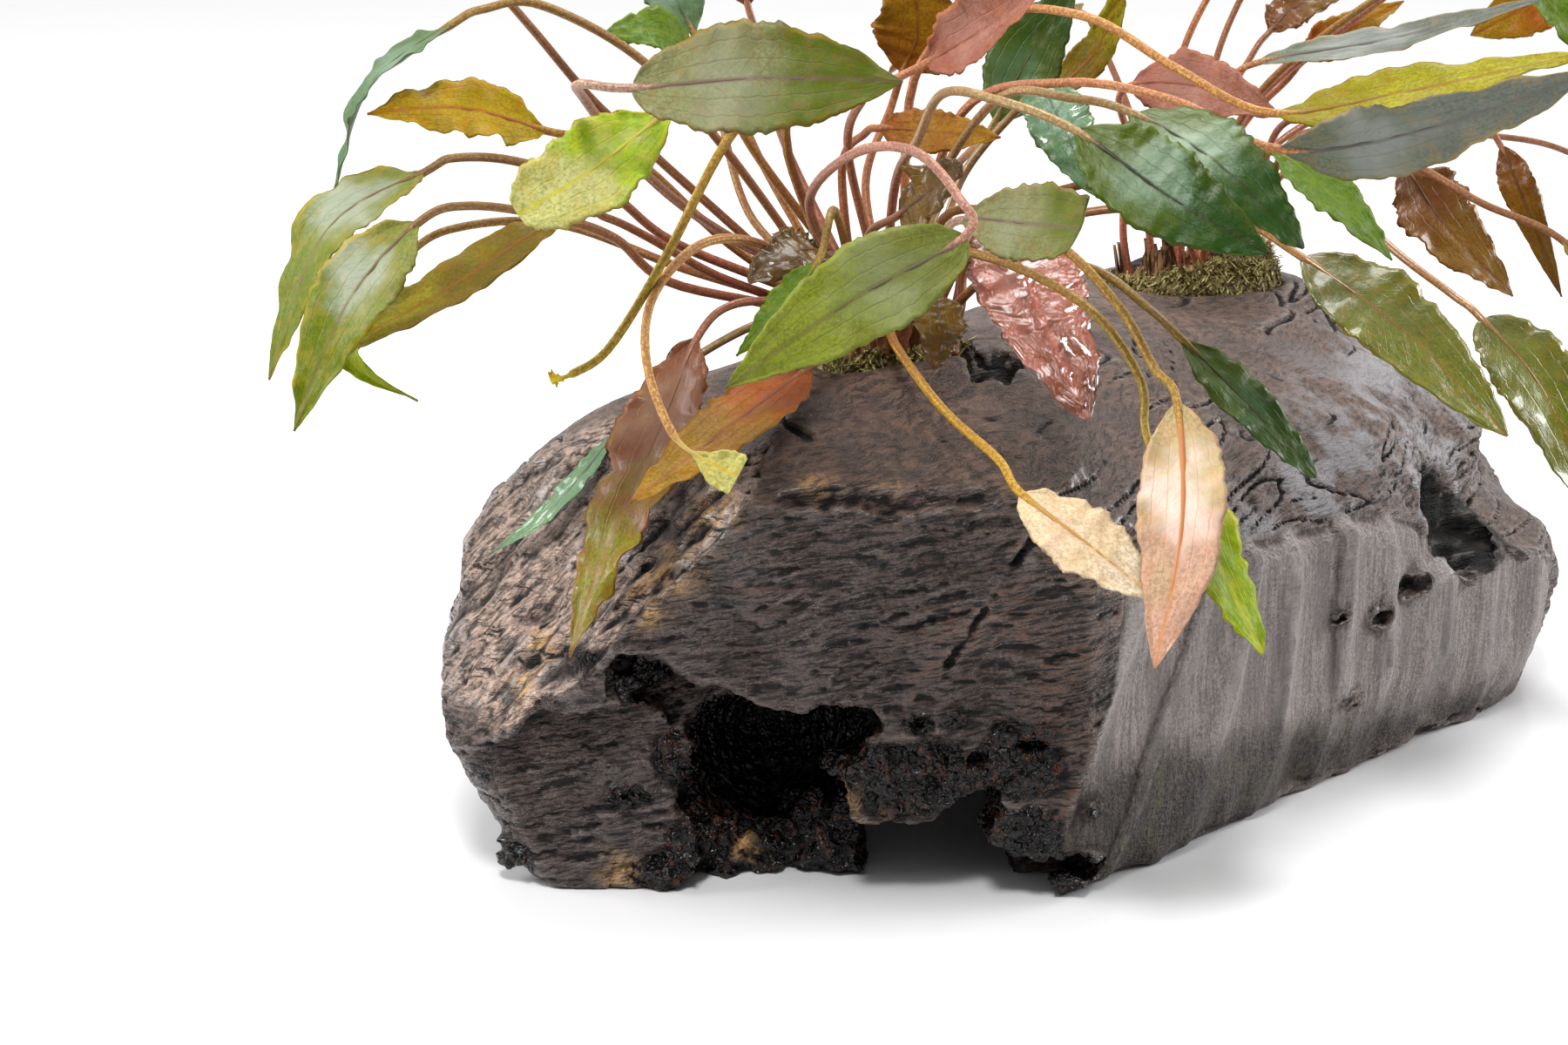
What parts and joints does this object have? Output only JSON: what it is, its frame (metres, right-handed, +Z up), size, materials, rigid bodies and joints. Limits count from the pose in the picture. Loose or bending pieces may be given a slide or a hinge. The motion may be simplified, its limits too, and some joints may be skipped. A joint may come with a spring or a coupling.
{
  "type": "cryptocoryne on driftwood",
  "caption": "Hollowed driftwood log with moss-packed planting pockets, each holding a rosette of long-stalked, lance-shaped cryptocoryne leaves.",
  "frame": {"origin": "middle of the whole plant's footprint, on the floor that the log stands on", "axes": "+X to the right along the longest extent, +Y away from the log's front face, +Z up"},
  "size_m": [0.2905, 0.2771, 0.1741],
  "materials": {
    "driftwood": "wet, rough and fibrous",
    "moss": "matt, fibrous moss",
    "crown": "ribbed brown rootstock",
    "grey_green_leaf": "soft wet sheen",
    "bright_green_leaf": "soft wet sheen",
    "deep_green_leaf": "soft wet sheen",
    "olive_leaf": "soft wet sheen",
    "orange_leaf": "soft wet sheen",
    "pink_leaf": "wet gloss",
    "brown_leaf": "soft wet sheen"
  },
  "bodies": {
    "root": {"driftwood": "driftwood", "moss_front": "moss", "moss_back": "moss", "crown_front": "crown", "crown_back": "crown", "front_leaf_01": "grey_green_leaf", "front_leaf_02": "bright_green_leaf", "front_leaf_03": "grey_green_leaf", "front_leaf_04": "olive_leaf", "front_leaf_05": "olive_leaf", "front_leaf_06": "grey_green_leaf", "front_leaf_07": "grey_green_leaf", "front_leaf_08": "olive_leaf", "front_leaf_09": "olive_leaf", "front_leaf_10": "orange_leaf", "front_leaf_11": "bright_green_leaf", "front_leaf_12": "brown_leaf", "front_leaf_13": "orange_leaf", "front_leaf_14": "deep_green_leaf", "front_leaf_15": "grey_green_leaf", "front_leaf_16": "deep_green_leaf", "front_leaf_17": "brown_leaf", "front_leaf_18": "olive_leaf", "front_leaf_19": "brown_leaf", "front_leaf_20": "pink_leaf", "front_leaf_21": "grey_green_leaf", "front_leaf_22": "bright_green_leaf", "front_leaf_23": "pink_leaf", "front_leaf_24": "pink_leaf", "front_leaf_25": "deep_green_leaf", "front_leaf_26": "deep_green_leaf", "front_leaf_27": "deep_green_leaf", "front_leaf_28": "olive_leaf", "front_leaf_29": "grey_green_leaf", "front_leaf_30": "bright_green_leaf", "front_leaf_31": "olive_leaf", "front_leaf_32": "orange_leaf", "front_leaf_33": "pink_leaf", "front_leaf_34": "deep_green_leaf", "front_leaf_35": "grey_green_leaf", "front_leaf_36": "orange_leaf", "front_leaf_37": "brown_leaf", "front_leaf_38": "bright_green_leaf", "front_leaf_39": "grey_green_leaf", "front_leaf_40": "olive_leaf", "back_leaf_01": "olive_leaf", "back_leaf_02": "olive_leaf", "back_leaf_03": "brown_leaf", "back_leaf_04": "brown_leaf", "back_leaf_05": "orange_leaf", "back_leaf_06": "grey_green_leaf", "back_leaf_07": "deep_green_leaf", "back_leaf_08": "pink_leaf", "back_leaf_09": "brown_leaf", "back_leaf_10": "brown_leaf", "back_leaf_11": "orange_leaf", "back_leaf_12": "olive_leaf", "back_leaf_13": "brown_leaf", "back_leaf_14": "orange_leaf", "back_leaf_15": "olive_leaf"}
  },
  "joints": []
}
